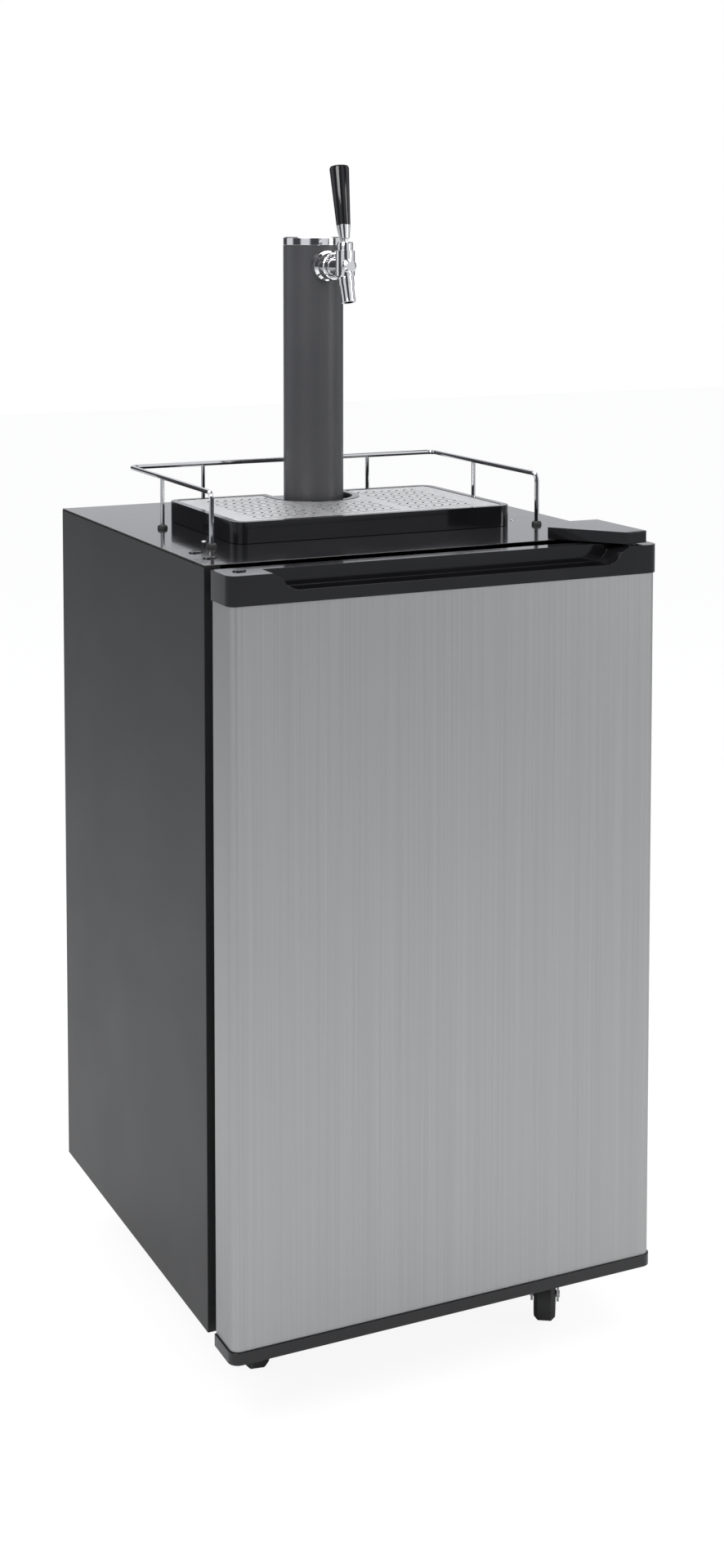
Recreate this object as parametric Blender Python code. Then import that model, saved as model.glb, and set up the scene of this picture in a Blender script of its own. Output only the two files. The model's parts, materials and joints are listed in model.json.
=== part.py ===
"""A single-tap kegerator: an insulated cabinet on casters with a draft tower, drip tray and guard rail.

Driving sizes are in millimetres.  Places are given in the cabinet's own axes: X across from the middle,
Y back from the cabinet's front edge, Z up from the cabinet's bottom edge.  put() turns them into metres
with the origin under the middle of the whole object, on the floor.
"""
import math

import bmesh
import bpy
from mathutils import Matrix, Vector

# ---- overall
WIDTH = 540.0
BODY_DEPTH = 514.0
BODY_HEIGHT = 866.0
GROUND = 92.0            # floor to the cabinet's bottom edge
GAP = 0.3                # air between pieces that touch
# ---- cabinet shell and cavity
SHEET = 1.0
TOP_SHEET = 1.5
RETURN = 18.0            # front return flange of a side panel
REAR_RETURN = 12.0
SIDE_WALL = 45.0
BACK_WALL = 45.0
ROOF = 50.0
FLOOR = 50.0
LINER = 2.0
HEADER = 44.0            # front flange of the top panel
HUMP_DEPTH = 149.0
HUMP_TOP = 287.0
BAY_FOAM = 37.0          # foam between the hump and the compressor bay
BAY_ROOF_FOAM = 22.0
PAN_TOP = 14.0
PAN_SHEET = 2.0
PAN_SKIRT = 1.7
LINE_HOLE = 14.0
# ---- door
DOOR_FRONT = 72.0        # ahead of the cabinet's front edge
DOOR_BACK = 20.0
DOOR_TOP_DROP = 1.7      # door top below the cabinet top
DOOR_BOTTOM = -4.7
CAP_HEIGHT = 33.3
FOOT_HEIGHT = 13.7
CAP_CORNER = 12.0
SKIN_INSET = 2.0
SKIN_SHEET = 1.0
POCKET_HALF = 222.0
POCKET_MIDDLE = 6.0
POCKET_DROP = 20.0
POCKET_FLOOR = 26.0
POCKET_DEPTH = 32.0
POCKET_LIP = 4.0
POCKET_RADIUS = 20.0
DOOR_LINER = 2.3
DYKE_OUT = 12.0
DYKE_MARGIN = 20.0
SEAL_WIDTH = 18.0
SEAL_SIDE = 20.0
HINGE_IN = 24.0          # hinge axis in from the door's edge
HINGE_BACK = 29.0        # hinge axis behind the door's front
PIN = 4.0
PIN_CLEAR = 0.6
BRACKET = 3.0
COVER_HEIGHT = 14.0
COVER_WALL = 1.8
# ---- tower and faucet
TOWER_Y = 313.0
TOWER_RADIUS = 38.0
TOWER_WALL = 2.5
TOWER_HEIGHT = 355.0
TOWER_FLANGE = 46.0
TOWER_FLANGE_THICK = 3.0
TOWER_CAP = 10.5
FAUCET_DROP = 36.0       # tap axis below the tower's top
SHANK_RADIUS = 11.0
SHANK_BORE = 4.0
FAUCET_OUT = 58.0        # faucet barrel ahead of the tower's front
BARREL_RADIUS = 12.0
NECK_RADIUS = 12.9
PLUNGER_BORE = 6.2
LEVER_RISE = 24.0        # lever pivot above the tap axis
LEVER_BALL = 5.0
LEVER_LEAN = 10.0
HANDLE_LENGTH = 74.0
HANDLE_TOP = 12.2
HANDLE_FOOT = 8.7
FERRULE_LENGTH = 16.8
# ---- drip tray and rail
TRAY_HALF = 184.0
TRAY_FRONT = 122.0
TRAY_BACK = 352.0
TRAY_HEIGHT = 25.5
TRAY_CORNER = 18.0
TRAY_WALL = 4.0
TRAY_FLOOR = 3.0
TRAY_RIM = 9.0
NOTCH_CLEAR = 3.5        # notch around the tower flange
GRILLE_THICK = 1.5
GRILLE_LEDGE = 2.5
RAIL_HALF = 215.0
RAIL_FRONT = 118.0
RAIL_BACK = 400.0
RAIL_HEIGHT = 63.3
RAIL_WIRE = 3.0
RAIL_BEND = 9.0
RAIL_POST = 2.6
SIDE_POST_Y = 283.0
BACK_POST_X = 117.0
# ---- gas and beer
CYLINDER_X = 150.0
CYLINDER_Y = BODY_DEPTH - 118.0
CYLINDER_RADIUS = 66.0
CYLINDER_HEIGHT = 350.0
VALVE_RADIUS = 13.0
COUPLER_X = -90.0
COUPLER_Y = CYLINDER_Y
BEER_HOSE = 4.8
GAS_HOSE = 5.0
# ---- cooling
COIL_OUT = 20.0
COIL_TUBE = 2.4
COIL_HALF = 190.0
COIL_ROWS = 9
COMPRESSOR_RADIUS = 70.0
COMPRESSOR_HEIGHT = 175.0
# ---- casters
CASTER_X = 190.0
CASTER_FRONT = 42.0
CASTER_REAR = 472.0
CASTER_TRAIL = 28.0
WHEEL_RADIUS = 31.0
WHEEL_WIDTH = 26.0
STEM_RADIUS = 5.0
SOCKET_RADIUS = 16.0
SOCKET_BOTTOM = -7.7
FORK_SHEET = 2.5
AXLE = 4.0
SWIVELS = {"front_left": 170.0, "front_right": -32.0, "rear_left": 120.0, "rear_right": 200.0}

HALF = WIDTH / 2
Y_SHIFT = -(BODY_DEPTH + COIL_OUT - DOOR_FRONT) / 2
INNER_HALF = HALF - SIDE_WALL
INNER_BACK = BODY_DEPTH - BACK_WALL
INNER_TOP = BODY_HEIGHT - ROOF
HUMP_FRONT = INNER_BACK - HUMP_DEPTH
BAY_FRONT = HUMP_FRONT + LINER + BAY_FOAM
BAY_TOP = HUMP_TOP - LINER - BAY_ROOF_FOAM
FRAME_HALF = HALF - RETURN - GAP
HINGE_X = HALF - HINGE_IN
HINGE_Y = HINGE_BACK - DOOR_FRONT
DOOR_TOP = BODY_HEIGHT - DOOR_TOP_DROP
CAP_BOTTOM = DOOR_TOP - CAP_HEIGHT
FOOT_TOP = DOOR_BOTTOM + FOOT_HEIGHT
TOWER_TOP = BODY_HEIGHT + TOWER_HEIGHT
TAP_Z = TOWER_TOP - FAUCET_DROP
TOWER_FRONT = TOWER_Y - TOWER_RADIUS
FAUCET_Y = TOWER_FRONT - FAUCET_OUT
PIVOT_Z = TAP_Z + LEVER_RISE
RAIL_Z = BODY_HEIGHT + RAIL_HEIGHT
LEAN = math.radians(LEVER_LEAN)
LEVER_AXIS = Vector((0, math.sin(LEAN), math.cos(LEAN)))
X_AXIS, Y_AXIS, Z_AXIS = Vector((1, 0, 0)), Vector((0, 1, 0)), Vector((0, 0, 1))

COLOURS = {
    "satin_black": ((0.022, 0.022, 0.024), 0.45, 0.0),
    "gloss_black": ((0.012, 0.012, 0.013), 0.18, 0.0),
    "brushed_steel": ((0.55, 0.55, 0.55), 0.36, 1.0),
    "chrome": ((0.75, 0.75, 0.76), 0.12, 1.0),
    "tower_grey": ((0.10, 0.10, 0.105), 0.38, 0.6),
    "zinc": ((0.50, 0.50, 0.50), 0.42, 1.0),
    "liner_white": ((0.80, 0.80, 0.79), 0.40, 0.0),
    "foam": ((0.75, 0.68, 0.45), 0.90, 0.0),
    "rubber": ((0.02, 0.02, 0.02), 0.70, 0.0),
    "brass": ((0.60, 0.44, 0.18), 0.30, 1.0),
    "hose": ((0.62, 0.62, 0.60), 0.35, 0.0),
    "grey_paint": ((0.30, 0.31, 0.32), 0.40, 0.0),
    "knob_grey": ((0.55, 0.56, 0.58), 0.40, 0.0),
}


# ---- helpers -------------------------------------------------------------------------------------
def put(point):
    """Cabinet axes in millimetres to world metres."""
    return Vector((point[0], point[1] + Y_SHIFT, point[2] + GROUND)) * 0.001


def clear_scene():
    for thing in list(bpy.data.objects):
        bpy.data.objects.remove(thing, do_unlink=True)


def finish_mesh(name, bm):
    bmesh.ops.recalc_face_normals(bm, faces=bm.faces)
    mesh = bpy.data.meshes.new(name)
    bm.to_mesh(mesh)
    bm.free()
    return mesh


def prism(outline, axis, low, high):
    """Extrude an outline: axis X takes (y, z) points, Y takes (x, z) points and Z takes (x, y) points."""
    places = {
        "X": lambda a, b, along: (along, a, b),
        "Y": lambda a, b, along: (a, along, b),
        "Z": lambda a, b, along: (a, b, along),
    }[axis]
    bm = bmesh.new()
    bottom = [bm.verts.new(put(places(a, b, low))) for a, b in outline]
    top = [bm.verts.new(put(places(a, b, high))) for a, b in outline]
    bm.faces.new(bottom)
    bm.faces.new(top)
    for i, corner in enumerate(bottom):
        j = (i + 1) % len(bottom)
        bm.faces.new((corner, bottom[j], top[j], top[i]))
    return finish_mesh("prism", bm)


def box(low, high):
    return prism([(low[0], low[1]), (high[0], low[1]), (high[0], high[1]), (low[0], high[1])], "Z", low[2], high[2])


def lathe(profile, origin=(0, 0, 0), direction=Z_AXIS, sides=20, phase=0.0):
    """Turn (radius, distance) points about a line; a profile off the axis is closed into a ring."""
    along = Vector(direction).normalized()
    across = along.orthogonal().normalized()
    if abs(along.z) < 0.9:
        across = along.cross(Z_AXIS).normalized()
    upright = along.cross(across)
    bm = bmesh.new()
    rings = []
    for radius, distance in profile:
        centre = Vector(origin) + along * distance
        if radius < 1e-6:
            rings.append([bm.verts.new(put(centre))])
            continue
        ring = []
        for step in range(sides):
            turn = 2 * math.pi * (step + phase) / sides
            ring.append(bm.verts.new(put(centre + radius * (across * math.cos(turn) + upright * math.sin(turn)))))
        rings.append(ring)
    pairs = list(zip(rings, rings[1:]))
    if len(rings[0]) > 1:
        pairs.append((rings[-1], rings[0]))
    for one, two in pairs:
        for step in range(sides):
            after = (step + 1) % sides
            if len(one) == 1:
                bm.faces.new((one[0], two[step], two[after]))
            elif len(two) == 1:
                bm.faces.new((one[step], one[after], two[0]))
            else:
                bm.faces.new((one[step], one[after], two[after], two[step]))
    return finish_mesh("lathe", bm)


def rod(start, end, radius, sides=16, phase=0.0):
    start, end = Vector(start), Vector(end)
    length = (end - start).length
    profile = [(0, 0), (radius, 0), (radius, length), (0, length)]
    return lathe(profile, start, end - start, sides, phase)


def sphere_arc(radius, start, end, steps):
    """(radius, distance) points on a ball, from one polar angle to another, in degrees from the top."""
    points = []
    for step in range(steps + 1):
        angle = math.radians(start + (end - start) * step / steps)
        points.append((radius * math.sin(angle), radius * math.cos(angle)))
    return points


def arc(centre, radius, start, end, steps):
    points = []
    for step in range(steps + 1):
        angle = math.radians(start + (end - start) * step / steps)
        points.append((centre[0] + radius * math.cos(angle), centre[1] + radius * math.sin(angle)))
    return points


def tube(points, radius, resolution=2):
    """A round line through the points, made as a bevelled curve with filled caps."""
    curve = bpy.data.curves.new("tube", "CURVE")
    curve.dimensions = "3D"
    curve.bevel_depth = radius * 0.001
    curve.bevel_resolution = resolution
    curve.use_fill_caps = True
    spline = curve.splines.new("POLY")
    spline.points.add(len(points) - 1)
    for knot, point in zip(spline.points, points):
        knot.co = (*put(point), 1.0)
    holder = bpy.data.objects.new("tube", curve)
    bpy.context.collection.objects.link(holder)
    mesh = bpy.data.meshes.new_from_object(holder.evaluated_get(bpy.context.evaluated_depsgraph_get()))
    bpy.data.objects.remove(holder)
    bm = bmesh.new()
    bm.from_mesh(mesh)
    bmesh.ops.remove_doubles(bm, verts=bm.verts, dist=1e-6)
    return finish_mesh("tube", bm)


def smooth_route(route, steps=5):
    """Points on a smooth curve through the route's own points."""
    knots = [Vector(p) for p in route]
    knots = [2 * knots[0] - knots[1]] + knots + [2 * knots[-1] - knots[-2]]
    points = []
    for a, b, c, d in zip(knots, knots[1:], knots[2:], knots[3:]):
        for step in range(steps):
            t = step / steps
            points.append(0.5 * (2 * b + (c - a) * t + (2 * a - 5 * b + 4 * c - d) * t * t
                                 + (3 * b - a - 3 * c + d) * t ** 3))
    points.append(knots[-2])
    return points


def bent_wire(corners, radius, steps=5):
    """Straight runs joined by round bends of one radius."""
    corners = [Vector(c) for c in corners]
    points = [corners[0]]
    for before, corner, after in zip(corners, corners[1:], corners[2:]):
        to_start = (before - corner).normalized()
        to_end = (after - corner).normalized()
        half_angle = to_start.angle(to_end) / 2
        setback = radius / math.tan(half_angle)
        centre = corner + (to_start + to_end).normalized() * radius / math.sin(half_angle)
        first = (corner + to_start * setback - centre).normalized()
        last = (corner + to_end * setback - centre).normalized()
        for step in range(steps + 1):
            points.append(centre + first.slerp(last, step / steps) * radius)
    points.append(corners[-1])
    return points


def combine(mesh, others, operation):
    """Boolean one mesh with others and return the new mesh."""
    body = bpy.data.objects.new("body", mesh)
    bpy.context.collection.objects.link(body)
    helpers = []
    for other in others:
        helper = bpy.data.objects.new("helper", other)
        bpy.context.collection.objects.link(helper)
        step = body.modifiers.new("step", "BOOLEAN")
        step.operation = operation
        step.solver = "EXACT"
        step.object = helper
        helpers.append(helper)
    bpy.context.view_layer.update()
    result = bpy.data.meshes.new_from_object(body.evaluated_get(bpy.context.evaluated_depsgraph_get()))
    for thing in [body] + helpers:
        bpy.data.objects.remove(thing)
    return result


def join(mesh, *others):
    return combine(mesh, others, "UNION")


def cut(mesh, *others):
    return combine(mesh, others, "DIFFERENCE")


def material(name):
    found = bpy.data.materials.get(name)
    if found:
        return found
    colour, roughness, metallic = COLOURS[name]
    made = bpy.data.materials.new(name)
    made.use_nodes = True
    shader = made.node_tree.nodes["Principled BSDF"]
    shader.inputs["Base Color"].default_value = (*colour, 1.0)
    shader.inputs["Roughness"].default_value = roughness
    shader.inputs["Metallic"].default_value = metallic
    return made


def axis_at(name, origin, parent=None):
    """An empty on a joint's axis, which the moving pieces hang on."""
    empty = bpy.data.objects.new(name, None)
    bpy.context.collection.objects.link(empty)
    empty.parent = parent
    base = Vector((0, 0, 0)) if parent is None else parent["place"]
    empty.location = put(origin) - Vector(base)
    empty["place"] = put(origin)
    return empty


def piece(name, mesh, finish, parent=None, shade=35.0):
    """One named sub-part with its own material, its origin at its parent's joint axis."""
    mesh.name = name
    mesh.materials.clear()
    mesh.materials.append(material(finish).copy())
    mesh.materials[0].name = name + "_" + finish
    mesh.shade_smooth()
    mesh.set_sharp_from_angle(angle=math.radians(shade))
    thing = bpy.data.objects.new(name, mesh)
    bpy.context.collection.objects.link(thing)
    if parent is not None:
        mesh.transform(Matrix.Translation(-Vector(parent["place"])))
        thing.parent = parent
    return thing


# ---- cabinet -------------------------------------------------------------------------------------
def make_shell():
    frame = FRAME_HALF
    sheet = box((-HALF, 0, BODY_HEIGHT - TOP_SHEET), (HALF, BODY_DEPTH, BODY_HEIGHT))
    header = box((-frame, 0, BODY_HEIGHT - HEADER), (frame, 1.2, BODY_HEIGHT - TOP_SHEET / 2))
    hole = rod((0, TOWER_Y, BODY_HEIGHT - 9), (0, TOWER_Y, BODY_HEIGHT + 9), LINE_HOLE * 2)
    piece("top_panel", cut(join(sheet, header), hole), "gloss_black")

    side_top = BODY_HEIGHT - TOP_SHEET - GAP
    for name, side in (("side_panel_left", -1), ("side_panel_right", 1)):
        inner = HALF - SHEET
        outline = [
            (side * HALF, 0), (side * (HALF - RETURN), 0), (side * (HALF - RETURN), SHEET),
            (side * inner, SHEET), (side * inner, BODY_DEPTH - SHEET),
            (side * (HALF - REAR_RETURN), BODY_DEPTH - SHEET), (side * (HALF - REAR_RETURN), BODY_DEPTH),
            (side * HALF, BODY_DEPTH),
        ]
        piece(name, prism(outline, "Z", 0, side_top), "satin_black")

    back_half = HALF - REAR_RETURN - GAP
    back = box((-back_half, BODY_DEPTH - SHEET, BAY_TOP), (back_half, BODY_DEPTH, side_top))
    piece("back_panel", back, "satin_black")

    width = HALF - SHEET - GAP
    rear = BODY_DEPTH - SHEET - GAP
    pan = box((-width, SHEET + GAP, 1), (width, rear, PAN_TOP))
    hollow = box((-width + PAN_SKIRT, SHEET + GAP + PAN_SKIRT, 0), (width - PAN_SKIRT, rear - PAN_SKIRT,
                                                                   PAN_TOP - PAN_SHEET))
    pan = cut(pan, hollow)
    sockets, bores = [], []
    for x, y in caster_places().values():
        sockets.append(rod((x, y, SOCKET_BOTTOM), (x, y, PAN_TOP - PAN_SHEET / 2), SOCKET_RADIUS))
        bores.append(rod((x, y, SOCKET_BOTTOM - 1), (x, y, PAN_TOP + 1), STEM_RADIUS + GAP))
    piece("base_pan", cut(join(pan, *sockets), *bores), "satin_black")

    bay = [
        (BAY_FRONT, PAN_TOP + GAP), (BAY_FRONT + SHEET, PAN_TOP + GAP), (BAY_FRONT + SHEET, BAY_TOP - SHEET - GAP),
        (rear, BAY_TOP - SHEET - GAP), (rear, BAY_TOP - GAP), (BAY_FRONT, BAY_TOP - GAP),
    ]
    piece("bay_wall", prism(bay, "X", -width, width), "zinc")

    foam = box((-width, LINER + GAP, PAN_TOP + GAP), (width, rear, side_top))
    cavity = prism(liner_outline(LINER + GAP, -9), "X", -INNER_HALF - LINER - GAP, INNER_HALF + LINER + GAP)
    bay_space = box((-HALF, BAY_FRONT - GAP, 0), (HALF, BODY_DEPTH + 9, BAY_TOP))
    line_way = rod((0, TOWER_Y, INNER_TOP - 9), (0, TOWER_Y, BODY_HEIGHT + 9), LINE_HOLE)
    piece("insulation_foam", cut(foam, cavity, bay_space, line_way), "foam")

    shell = prism(liner_outline(LINER, 0), "X", -INNER_HALF - LINER, INNER_HALF + LINER)
    flange = box((-frame, 0, PAN_TOP + GAP), (frame, LINER, BODY_HEIGHT - HEADER - GAP))
    inside = prism(liner_outline(0, -9), "X", -INNER_HALF, INNER_HALF)
    line_way = rod((0, TOWER_Y, INNER_TOP - 9), (0, TOWER_Y, BODY_HEIGHT + 9), LINE_HOLE)
    piece("inner_liner", cut(join(shell, flange), inside, line_way), "liner_white")


def liner_outline(grow, front):
    """The cavity seen from the side, with the hump over the compressor, grown outwards."""
    return [
        (front, FLOOR - grow), (HUMP_FRONT + grow, FLOOR - grow), (HUMP_FRONT + grow, HUMP_TOP - grow),
        (INNER_BACK + grow, HUMP_TOP - grow), (INNER_BACK + grow, INNER_TOP + grow), (front, INNER_TOP + grow),
    ]


def make_cooling():
    plate_z = INNER_TOP - 26
    plate = box((-150, INNER_BACK - GAP - 2.5, plate_z - 200), (40, INNER_BACK - GAP, plate_z))
    piece("evaporator_plate", plate, "zinc")

    middle = (BAY_FRONT + BODY_DEPTH) / 2
    base = PAN_TOP + GAP
    dome = COMPRESSOR_RADIUS
    profile = [(0, 0), (dome * 0.8, 4), (dome, 22), (dome, COMPRESSOR_HEIGHT * 0.62)]
    profile += [(dome * 0.93, COMPRESSOR_HEIGHT * 0.8), (dome * 0.6, COMPRESSOR_HEIGHT * 0.95),
                (0, COMPRESSOR_HEIGHT)]
    can = lathe(profile, (0, middle, base + 12), Z_AXIS, 20)
    feet = []
    for x in (-1, 1):
        feet.append(box((x * 78 - 14, middle - 34, base), (x * 78 + 14, middle + 34, base + 14)))
    bridge = box((-80, middle - 14, base + 6), (80, middle + 14, base + 20))
    relay = box((dome * 0.5, middle - 22, base + 70), (dome + 30, middle + 22, base + 118))
    stub = rod((0, middle, base + COMPRESSOR_HEIGHT - 20), (0, middle, base + COMPRESSOR_HEIGHT + 24), 4, 10)
    piece("compressor", join(can, bridge, *feet, relay, stub), "gloss_black")

    gland = [(3.6, 0), (8, 0), (8, 4), (5.2, 6), (4.6, 18), (3.6, 18)]
    gland_at = (dome + 18, middle + 22 + GAP, base + 90)
    piece("cord_gland", lathe(gland, gland_at, Y_AXIS, 16), "rubber")

    coil_y = BODY_DEPTH + COIL_OUT - COIL_TUBE
    low, high = BAY_TOP + 40, BODY_HEIGHT - 60
    pitch = (high - low) / (COIL_ROWS - 1)
    corners = []
    for row in range(COIL_ROWS):
        side = 1 if row % 2 else -1
        corners += [(-side * COIL_HALF, coil_y, low + row * pitch), (side * COIL_HALF, coil_y, low + row * pitch)]
    wire = tube(bent_wire(corners[1:-1], pitch * 0.46, 3), COIL_TUBE, 1)
    straps = []
    for x in (-1, 1):
        strap_x = x * COIL_HALF * 0.62
        strap = box((strap_x - 7, BODY_DEPTH + GAP, low - 14), (strap_x + 7, coil_y - 0.6, high + 14))
        window = box((strap_x - 8, BODY_DEPTH - 1, low + 8), (strap_x + 8, coil_y - 2.4, high - 8))
        straps.append(cut(strap, window))
    piece("condenser_coil", join(wire, *straps), "satin_black")


def make_interior():
    wall = INNER_HALF - GAP
    y, z = 175.0, 700.0
    housing = [(y - 55, z - 60), (y + 55, z - 60), (y + 55, z + 60), (y - 35, z + 60), (y - 55, z + 40)]
    body = prism(housing, "X", wall - 40, wall)
    piece("thermostat_housing", body, "liner_white")
    knob_at = (wall - 40 - GAP, y, z)
    knob = lathe([(0, 0), (22, 0), (22, 5), (20, 7), (0, 7)], knob_at, -X_AXIS, 24)
    grip = box((knob_at[0] - 17, y - 4, z - 19), (knob_at[0] - 6, y + 4, z + 19))
    piece("thermostat_knob", join(knob, grip), "knob_grey", axis_at("thermostat_axis", knob_at))


def make_hinges():
    top = BODY_HEIGHT + GAP
    plate = prism([(HINGE_X - 26, 30), (HINGE_X - 8, HINGE_Y - 8), (HINGE_X + 5.5, HINGE_Y - 8),
                   (HINGE_X + 5.5, 30)], "Z", top, top + BRACKET)
    pin = rod((HINGE_X, HINGE_Y, DOOR_TOP - 15), (HINGE_X, HINGE_Y, top + BRACKET / 2), PIN)
    piece("top_hinge_bracket", join(plate, pin), "zinc")

    outline = [(HALF - 104, 8), (HALF - 59, 43), (HALF - 15, 41), (HALF - 13, -66), (HALF - 42, -69)]
    inner = [(HALF - 100, 9), (HALF - 58, 41), (HALF - 17, 39), (HALF - 15, -64), (HALF - 41, -67)]
    cover = prism(outline, "Z", top, top + COVER_HEIGHT)
    inside = prism(inner, "Z", top - 1, top + COVER_HEIGHT - COVER_WALL)
    piece("top_hinge_cover", cut(cover, inside), "gloss_black")

    under = DOOR_BOTTOM - 2.3
    strap = [
        (HINGE_Y - 15, under - BRACKET), (-2, under - BRACKET), (4, 0.7 - BRACKET), (60, 0.7 - BRACKET),
        (60, 0.7), (2.8, 0.7), (-3.2, under), (HINGE_Y - 15, under),
    ]
    bracket = prism(strap, "X", HINGE_X - 24, HINGE_X + 10)
    pin = rod((HINGE_X, HINGE_Y, under - BRACKET / 2), (HINGE_X, HINGE_Y, FOOT_TOP - 3), PIN)
    piece("bottom_hinge_bracket", join(bracket, pin), "zinc")


# ---- door ----------------------------------------------------------------------------------------
def door_outline(inset, back, corner):
    """The door seen from above, with round front corners, inset from the caps' own outline."""
    side, front = HALF - inset, -DOOR_FRONT + inset
    points = [(-side, back)]
    points += arc((-side + corner, front + corner), corner, 180, 270, 6)
    points += arc((side - corner, front + corner), corner, 270, 360, 6)
    return points + [(side, back)]


def frame_ring(half, low, high, profile):
    """A rectangular ring: each profile point is (distance in from the outer edge, y)."""
    bm = bmesh.new()
    loops = []
    for x, z in ((-1, -1), (1, -1), (1, 1), (-1, 1)):
        corner = []
        for inset, y in profile:
            level = low + inset if z < 0 else high - inset
            corner.append(bm.verts.new(put((x * (half - inset), y, level))))
        loops.append(corner)
    count = len(profile)
    for i in range(4):
        one, two = loops[i], loops[(i + 1) % 4]
        for k in range(count):
            bm.faces.new((one[k], one[(k + 1) % count], two[(k + 1) % count], two[k]))
    return finish_mesh("ring", bm)


def make_door():
    hinge = axis_at("door_axis", (HINGE_X, HINGE_Y, 0))
    back = -DOOR_BACK
    skin_low, skin_high = FOOT_TOP + GAP, CAP_BOTTOM - GAP

    outer = door_outline(SKIN_INSET, back, CAP_CORNER - SKIN_INSET)
    inner = door_outline(SKIN_INSET + SKIN_SHEET, back, CAP_CORNER - SKIN_INSET - SKIN_SHEET)
    skin = prism(outer + inner[::-1], "Z", skin_low, skin_high)
    piece("door_skin", skin, "brushed_steel", hinge)

    cap = prism(door_outline(0, back, CAP_CORNER), "Z", CAP_BOTTOM, DOOR_TOP)
    lip_z = DOOR_TOP - POCKET_DROP
    left, right = POCKET_MIDDLE - POCKET_HALF, POCKET_MIDDLE + POCKET_HALF
    mouth = [(left - 8, DOOR_TOP + 5), (left, DOOR_TOP - 2)]
    mouth += arc((left + POCKET_RADIUS + 8, lip_z + POCKET_RADIUS), POCKET_RADIUS, 200, 270, 6)
    mouth += arc((right - POCKET_RADIUS - 8, lip_z + POCKET_RADIUS), POCKET_RADIUS, 270, 340, 6)
    mouth += [(right, DOOR_TOP - 2), (right + 8, DOOR_TOP + 5)]
    opening = prism(mouth, "Y", -DOOR_FRONT - 5, -DOOR_FRONT + POCKET_DEPTH)
    sump_half = POCKET_HALF - POCKET_RADIUS - 8
    sump = box((POCKET_MIDDLE - sump_half, -DOOR_FRONT + POCKET_LIP, DOOR_TOP - POCKET_FLOOR),
               (POCKET_MIDDLE + sump_half, -DOOR_FRONT + POCKET_DEPTH - 2, lip_z + 3))
    bore = rod((HINGE_X, HINGE_Y, DOOR_TOP - 17), (HINGE_X, HINGE_Y, DOOR_TOP + 3), PIN + PIN_CLEAR)
    piece("door_top_cap", cut(cap, opening, sump, bore), "gloss_black", hinge)

    foot = prism(door_outline(0, back, CAP_CORNER), "Z", DOOR_BOTTOM, FOOT_TOP)
    bore = rod((HINGE_X, HINGE_Y, DOOR_BOTTOM - 3), (HINGE_X, HINGE_Y, FOOT_TOP - 2), PIN + PIN_CLEAR)
    piece("door_bottom_cap", cut(foot, bore), "gloss_black", hinge)

    half = HALF - SKIN_INSET - SKIN_SHEET - GAP
    sheet = box((-half, back - DOOR_LINER, skin_low), (half, back, skin_high))
    dyke_half = INNER_HALF - DYKE_MARGIN
    low, high = FLOOR + DYKE_MARGIN, INNER_TOP - DYKE_MARGIN
    dyke = box((-dyke_half, back - 1, low), (dyke_half, DYKE_OUT, high))
    hollow = box((-dyke_half + LINER, back - 9, low + LINER), (dyke_half - LINER, DYKE_OUT - LINER, high - LINER))
    piece("door_liner", cut(join(sheet, dyke), hollow), "liner_white", hinge)

    inset = SKIN_INSET + SKIN_SHEET + GAP
    filling = prism(door_outline(inset, back - DOOR_LINER - GAP, CAP_CORNER - inset), "Z", skin_low, skin_high)
    piece("door_foam", filling, "foam", hinge)

    seal = [(0, back + GAP), (SEAL_WIDTH, back + GAP), (SEAL_WIDTH - 4, back / 2), (SEAL_WIDTH, -0.4 - 4),
            (SEAL_WIDTH, -0.4), (0, -0.4), (0, -0.4 - 4), (4, back / 2)]
    ring = frame_ring(HALF - SEAL_SIDE, PAN_TOP + 6, BODY_HEIGHT - 24, seal)
    piece("door_gasket", ring, "rubber", hinge)


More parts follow.
